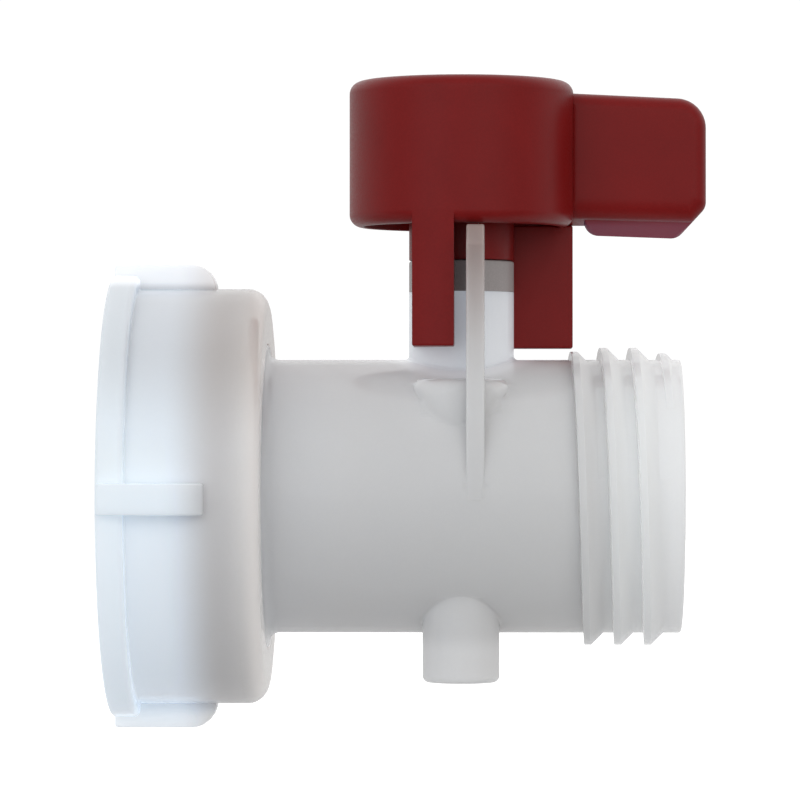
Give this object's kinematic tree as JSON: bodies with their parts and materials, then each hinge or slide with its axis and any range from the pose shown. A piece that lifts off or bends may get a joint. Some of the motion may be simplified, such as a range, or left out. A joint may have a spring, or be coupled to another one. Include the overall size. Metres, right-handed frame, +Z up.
{
  "type": "butterfly valve",
  "caption": "Quarter-turn butterfly valve for a bulk liquid container: swivel union nut inlet, coarse-threaded outlet, knob handle with lever.",
  "frame": {"origin": "on the pipe's axis, in the plane of the union nut's mouth, where the valve meets the tank's threaded outlet", "axes": "+X along the pipe from the tank to the outlet, +Z up along the stem to the handle, +Y to the side away from the stop fin"},
  "size_m": [0.1198, 0.0934, 0.1305],
  "materials": {
    "body_plastic": "natural translucent polyethylene, as moulded",
    "nut_plastic": "natural translucent polyethylene, as moulded",
    "acetal": "white acetal, smooth",
    "seal_rubber": "black rubber, matt",
    "bush_plastic": "grey acetal, satin",
    "stem_plastic": "glass-filled nylon, off-white, satin",
    "disc_plastic": "natural polyethylene, satin",
    "disc_rubber": "black rubber, matt",
    "handle_plastic": "dark red polypropylene, satin",
    "screw_steel": "stainless steel, bright"
  },
  "bodies": {
    "body": {"valve_body": "body_plastic", "nut_retaining_ring": "acetal", "nut_slip_ring": "acetal", "inlet_gasket": "seal_rubber", "stem_bush": "bush_plastic", "bush_oring": "seal_rubber", "trunnion_bush": "acetal", "trunnion_oring": "seal_rubber", "thrust_pad": "acetal"},
    "nut": {"union_nut": "nut_plastic"},
    "shutter": {"handle": "handle_plastic", "handle_washer": "screw_steel", "handle_screw": "screw_steel", "handle_cap": "handle_plastic", "stem": "stem_plastic", "stem_oring_lower": "seal_rubber", "stem_oring_upper": "seal_rubber", "disc": "disc_plastic", "disc_seal": "disc_rubber"}
  },
  "joints": [
    {"name": "nut_spin", "type": "hinge", "parent": "body", "child": "nut", "pos_m": [0, 0, 0], "axis": [1, 0, 0], "continuous": true},
    {"name": "handle_turn", "type": "hinge", "parent": "body", "child": "shutter", "pos_m": [0.0703, 0, 0], "axis": [0, 0, 1], "range_deg": [-90, 5]}
  ]
}
